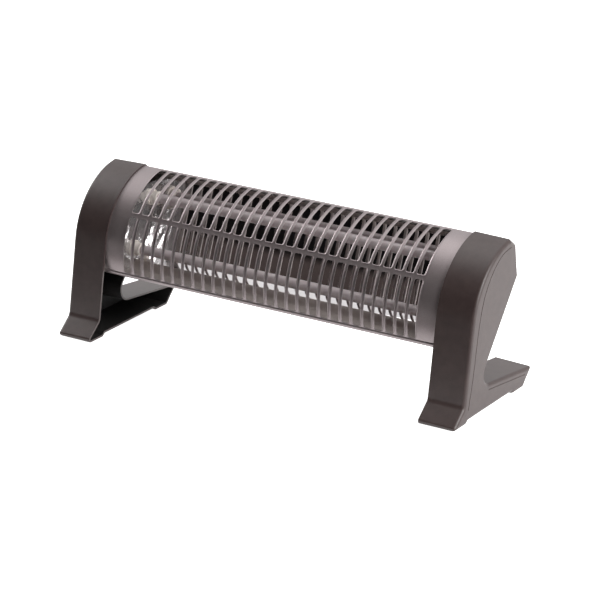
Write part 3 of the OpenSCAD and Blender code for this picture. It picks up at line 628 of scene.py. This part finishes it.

# %% [markdown]
# The blank gets its thickness while it is flat, because a wall grown on the rolled sheet would
# pinch at the tight folds. Its back is bare galvanised steel, pale partly as painted light for
# the light the mirror throws onto it, and is told apart while flat too, by its normals. Then
# each point is moved to where rolling and folding carry it.

# %% Thicken the blank
def thicken(piece, thickness, even=False):
    """Gives a sheet its thickness, behind the face that its normals point out of."""
    pick(piece)
    thick = piece.modifiers.new("thickness", "SOLIDIFY")
    thick.thickness = thickness
    thick.offset = -1
    thick.use_even_offset = even
    bpy.ops.object.modifier_apply(modifier=thick.name)


thicken(grille, sheet_t, even=True)
dress(grille, metallic_paint, nodes=["front_grille"])
# The back of the sheet gets the pale galvanised finish, which is partly painted light.
grille.data.materials.append(galvanised_and_painted_light)
slope = 0.3
for face in grille.data.polygons:
    if face.normal.z < -slope:
        face.material_index = 1
print("faces up", sum(face.normal.z > slope for face in grille.data.polygons), "down",
      sum(face.material_index for face in grille.data.polygons), "thickness from",
      [round(c / MM, 2) for c in (grille.bound_box[0][2], grille.bound_box[6][2])])


# %% Roll the blank
def rolled(spot):
    """Where a point of the flat blank lies once the sheet is rolled and folded."""
    angle = math.degrees(-spot.y / grille_r)
    start, turn, radius = crest_fold if angle < crest_fold[0] else lip_fold
    axis = Vector((drum_y, drum_z))
    if crest_fold[0] <= angle <= lip_fold[0]:
        out = Matrix.Rotation(math.radians(angle), 2) @ Vector((0, 1))
        place = axis + out * (grille_r + spot.z)
        return Vector((spot.x, *place))
    run = abs(spot.y - blank_y(start))
    turned = min(run / radius, abs(math.radians(turn)))
    straight = run - radius * turned
    out = Matrix.Rotation(math.radians(start), 2) @ Vector((0, 1))
    centre = axis + out * (grille_r - radius)
    out = Matrix.Rotation(math.copysign(turned, turn), 2) @ out
    along = Matrix.Rotation(math.copysign(math.pi / 2, turn), 2) @ out
    place = centre + out * (radius + spot.z) + along * straight
    return Vector((spot.x, *place))


for vertex in grille.data.vertices:
    vertex.co = rolled(vertex.co)
shade(grille, 38)
print("grille faces", len(grille.data.polygons))

# %% [markdown]
# ## Reflector
# The reflector is one sheet: a level strip on the grille's lip, then a long curve that rises
# behind both tubes. A mirror shows every flat facet, so the curve could be bent from a finely
# cut sheet, or spun. An edge spun round the curve's centre is the simplest, and it is exact.
#
# In the photograph the mirrored tubes waver near the foot of the curve, so the sheet dips
# there by up to 0.6 mm, and the level strip and the first of the curve are duller than the
# rest, so they get the satin finish.

# %% Sizes of the reflector
mirror_y, mirror_z, mirror_r = -74 * MM, 173.88 * MM, 109 * MM
mirror_low, mirror_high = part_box("reflector")
mirror_t = 0.5 * MM
dip_length, half_dip = 28 * MM, 0.29 * MM
back_flange = 1.6 * MM
satin_reach = 13 * MM


def angle_at(z):
    """The angle below the level through the curve's centre at which it reaches a height."""
    return math.asin((mirror_z - z) / mirror_r)


strip_z = mirror_low.z + mirror_t
strip_back = mirror_y + mirror_r * math.cos(angle_at(strip_z))
strip_front = mirror_low.y
print("level strip", round((strip_back - strip_front) / MM, 1), "deep")

# %% Level strip and curve
bpy.ops.object.select_all(action="DESELECT")
bpy.ops.mesh.primitive_plane_add(size=1)
reflector = bpy.context.active_object
reflector.name = "reflector_sheet"
bpy.ops.object.mode_set(mode="EDIT")
bpy.ops.transform.resize(value=(mirror_high.x - mirror_low.x, strip_back - strip_front, 1))
bpy.ops.transform.translate(value=(0, (strip_back + strip_front) / 2, strip_z))
bpy.ops.object.mode_set(mode="OBJECT")
edit_edges(reflector, lambda p, q: min(p.y, q.y) > strip_back - TINY)
bpy.ops.mesh.spin(steps=48, angle=angle_at(mirror_high.z) - angle_at(strip_z),
                  use_normal_flip=False, center=(0, mirror_y, mirror_z), axis=(1, 0, 0))
bpy.ops.object.mode_set(mode="OBJECT")
for vertex in reflector.data.vertices:
    along = (vertex.co.y - strip_back) / dip_length
    if 0 < along < 1:
        vertex.co.z -= half_dip * (1 - math.cos(2 * math.pi * along))
print("curve ends at", round(max(v.co.z for v in reflector.data.vertices) / MM, 1), "high")

# %% Flange, thickness and finish
near_top = mirror_high.z - 0.05 * MM
edit_edges(reflector, lambda p, q: min(p.z, q.z) > near_top)
bpy.ops.mesh.extrude_edges_move(TRANSFORM_OT_translate={"value": (0, back_flange, back_flange)})
bpy.ops.mesh.select_all(action="SELECT")
bpy.ops.mesh.normals_make_consistent(inside=False)
bpy.ops.object.mode_set(mode="OBJECT")
print("reflector", [round(d / MM, 1) for d in reflector.dimensions],
      [round(n, 2) for n in reflector.data.polygons[0].normal])
thicken(reflector, mirror_t)
dress(reflector, bright_aluminium, nodes=["reflector"])
reflector.data.materials.append(satin_aluminium)
for face in reflector.data.polygons:
    if max(reflector.data.vertices[i].co.y for i in face.vertices) < strip_back + satin_reach:
        face.material_index = 1
shade(reflector, 20)

# %% [markdown]
# The reflector's ends close the trough. They are soft aluminium, dented where they were
# pressed over the ceramic caps. The dents are shallow, so the finish draws them, and the
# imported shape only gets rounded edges. The pieces that follow are made in the same way: their
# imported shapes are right, and only their edges are too sharp.

# %% Reflector ends
def rounded(node, name, width, segments, material, angle=30, body="heater", flat=True):
    """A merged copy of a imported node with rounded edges, dressed to stand for the node."""
    piece = merged_copy(node, name)
    soften(piece, width, segments, angle, flat)
    dress(piece, material, body, [node])
    return piece


for side in ("left", "right"):
    end = rounded(side + "_reflector_end", side + "_trough_end", 0.12 * MM, 2,
                  crinkled_aluminium, flat=False)
    print(end.name, "faces", len(end.data.polygons))

# %% [markdown]
# ## Tubes and caps
# Each bar is a milky quartz tube in a ceramic cap at each end. The sharp edges of the packed
# shapes are rounded as firing leaves them, more on the pressed ceramic than on the cut glass.

# %% Tubes and caps
for level in ("upper", "lower"):
    tube = rounded(level + "_quartz_tube", level + "_bar_glass", 0.2 * MM, 2,
                   milky_quartz, angle=40)
    print(tube.name, "faces", len(tube.data.polygons))
    for side in ("left", "right"):
        rounded(level + "_" + side + "_cap", level + "_" + side + "_steatite", 0.4 * MM, 3,
                steatite, angle=40)

# %% [markdown]
# ## Back and base
# The rear cover is folded sheet with two rows of vents, held by two screws at each end. It is
# painted outside only, so its inner faces get the bare sheet's finish, whose pale colour is
# partly painted light for the light falling inside. They are the ones that look at a line
# inside the drum.

# %% Rear cover and end plates
inside_y, inside_z = 0, 125 * MM
cover = rounded("rear_cover", "rear_cover_sheet", 0.2 * MM, 2, powder_coat)
# The inner faces get the pale galvanised finish, which is partly painted light.
cover.data.materials.append(galvanised_and_painted_light)
for face in cover.data.polygons:
    inward = Vector((face.center.x, inside_y, inside_z)) - face.center
    if face.normal.dot(inward.normalized()) > 0.5:
        face.material_index = 1
for side in ("left", "right"):
    rounded(side + "_end_plate", side + "_plate", 0.2 * MM, 2, zinc_plate)
print("cover faces", len(cover.data.polygons), "bare",
      sum(face.material_index for face in cover.data.polygons))

# %% [markdown]
# The two rockers tilt and the tip-over foot slides, so each of them rides on its own body.
# Everything else belongs to the heater itself.

# %% Switches, gland and tip-over foot
for level in ("upper", "lower"):
    rounded(level + "_switch_housing", level + "_switch_frame", 0.25 * MM, 3,
            switch_nylon)
    rocker = rounded(level + "_rocker", level + "_rocker_cap", 0.35 * MM, 3,
                     rocker_polish, body=level + "_rocker")
    print(rocker.name, "faces", len(rocker.data.polygons))
rounded("cord_gland", "cord_gland_body", 0.5 * MM, 3, gland_rubber, angle=40)
rounded("tilt_plunger", "tip_over_foot", 0.2 * MM, 2, pale_nylon, angle=40,
        body="tilt_plunger")
rounded("cover_screws", "rear_screws", 0.35 * MM, 3, screw_black, angle=40)

# %% [markdown]
# The coils, leads, pins and switch works are small and mostly hidden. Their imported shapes
# stay, and only their finish is new.

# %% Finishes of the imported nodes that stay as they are
inside = {
    resistance_wire: ["upper_heating_coil", "lower_heating_coil"],
    zinc_plate: ["upper_terminal_pins", "lower_terminal_pins", "terminal_nuts", "terminal_tags",
                 "terminal_block_screws", "end_plate_screws", "tilt_spring"],
    glass_sleeving: ["left_link_lead", "upper_tube_lead", "lower_tube_lead"],
    blue_wire: ["return_lead"],
    brown_wire: ["supply_leads"],
    pale_nylon: ["terminal_block"],
    contact_brass: ["switch_blades", "tilt_contacts"],
    switch_nylon: ["tilt_switch_housing"],
    gland_rubber: ["gland_nut"],
}
for material, names in inside.items():
    for name in names:
        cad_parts[name].data.materials.clear()
        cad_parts[name].data.materials.append(material)
print("packed nodes dressed", sum(len(names) for names in inside.values()))

# %% [markdown]
# ## Stage and light
# The photograph has a white ground. More light could make the ground white, but it would wash
# out the object too. So the floor and the world shine white only for the camera and in
# reflections, and the light that falls on the heater stays plain.

# %% Floor
def seen_directly(owner):
    """Is 1 where the camera or a reflection looks, and 0 for light that falls on things."""
    path = add_node(owner, "ShaderNodeLightPath")
    return add_node(owner, "ShaderNodeMath", None,
                    {0: path.outputs["Is Camera Ray"], 1: path.outputs["Is Glossy Ray"]},
                    operation="MAXIMUM")


bpy.ops.object.select_all(action="DESELECT")
bpy.ops.mesh.primitive_plane_add(size=12, location=(0, 0, 0))
floor = bpy.context.active_object
floor.name = "floor"
white_floor = finish("white_floor", {"Base Color": colour("#f4f4f4"), "Roughness": 0.6})
lit = white_floor.node_tree.nodes["Principled BSDF"]
lit.inputs["Emission Color"].default_value = (1, 1, 1, 1)
white_floor.node_tree.links.new(seen_directly(white_floor).outputs["Value"],
                                lit.inputs["Emission Strength"])
floor.data.materials.append(white_floor)
print("floor", floor.dimensions.x, "m wide")

# %% World
fill_light = 0.48
world = bpy.data.worlds.new("studio")
world.use_nodes = True
bpy.context.scene.world = world
sky = world.node_tree.nodes["Background"]
sky.inputs["Color"].default_value = (1, 1, 1, 1)
strength = add_node(world, "ShaderNodeMapRange", {"To Min": fill_light},
                    {"Value": seen_directly(world).outputs["Value"]})
world.node_tree.links.new(strength.outputs["Result"], sky.inputs["Strength"])
print("the world lights the heater at", fill_light)


# %% [markdown]
# Three soft square lamps light the heater: a strong one from the right, which draws the side
# of the right stand, a weaker one from the left and a wide weak one from above. A single large
# lamp would leave the outer side of the left stand dark.

# %% Lamps
def softbox(name, place, target, size, power):
    """A square area lamp at a place, turned to its target."""
    lamp = bpy.data.lights.new(name, "AREA")
    lamp.shape = "SQUARE"
    lamp.size = size
    lamp.energy = power
    box = bpy.data.objects.new(name, lamp)
    bpy.context.scene.collection.objects.link(box)
    away = Vector(place) - Vector(target)
    box.location = place
    box.rotation_euler = away.to_track_quat("Z", "Y").to_euler()
    print(name, power, "W")


softbox("side_box", (2.4, -0.35, 1.3), target=(0.2, 0, 0.1), size=1.1, power=64)
softbox("left_box", (-2.4, 0.3, 1.5), target=(0, 0, 0.1), size=1.0, power=26)
softbox("top_box", (-0.3, 0.5, 2.4), target=(0, 0, 0.1), size=1.8, power=14)
bpy.context.scene.view_settings.view_transform = "Standard"

# %% [markdown]
# A mirror in a white room looks white all over. The photograph's reflector has dark parts,
# because it was shot with something dark in front. Two cards take its place, as flags do round
# a studio set: one stands in front of the heater, and one lies on the floor between the two.
# They are hidden from the camera and cast no shadow, but the mirror and the stands show them.
# Each glows by itself from one grey to another, though it is no lamp: a painted reflection without
# a hard edge, which also throws faint painted light onto the heater.

# %% Glowing cards in front, for painted reflections
def glowing_card(name, size, turn, place, low, high, start, stop):
    """A card that glows by itself, fading from low to high, two hex codes, between start and stop
    along it.
    """
    bpy.ops.object.select_all(action="DESELECT")
    bpy.ops.mesh.primitive_plane_add(size=1, location=(0, 0, 0))
    card = bpy.context.active_object
    card.name = name
    bpy.ops.object.mode_set(mode="EDIT")
    bpy.ops.transform.resize(value=(size[0], size[1], 1))
    bpy.ops.transform.rotate(value=math.radians(turn), orient_axis="X",
                             center_override=(0, 0, 0))
    bpy.ops.transform.translate(value=place)
    bpy.ops.object.mode_set(mode="OBJECT")
    # The card shines its own colour: painted reflection and painted light, not a lamp.
    painted_glow = finish(name + "_flock", {"Base Color": colour("#0c0b0b"), "Roughness": 0.9,
                                     "Specular IOR Level": 0.0, "Emission Strength": 1.0})
    spot = add_node(painted_glow, "ShaderNodeTexCoord")
    parts = add_node(painted_glow, "ShaderNodeSeparateXYZ", None, {"Vector": spot.outputs["Object"]})
    along = parts.outputs["Z"] if turn else parts.outputs["Y"]
    fade = add_node(painted_glow, "ShaderNodeMapRange", {"From Min": start, "From Max": stop},
                    {"Value": along})
    ramp = add_node(painted_glow, "ShaderNodeValToRGB", None, {"Fac": fade.outputs["Result"]})
    ramp.color_ramp.elements[0].color = colour(low)
    ramp.color_ramp.elements[1].color = colour(high)
    shader = painted_glow.node_tree.nodes["Principled BSDF"]
    painted_glow.node_tree.links.new(ramp.outputs["Color"], shader.inputs["Emission Color"])
    card.data.materials.append(painted_glow)
    card.visible_camera = False
    card.visible_shadow = False
    print(name, [round(d, 2) for d in card.dimensions])


glowing_card("standing_card", (7, 2.6), turn=90, place=(-0.6, -0.75, 1.35),
          low="#0b0a0a", high="#4a413f", start=0.85, stop=1.1)
glowing_card("lying_card", (7, 0.55), turn=0, place=(-0.6, -0.475, 0.001),
          low="#1c1918", high="#aaa3a1", start=-0.45, stop=-0.2)
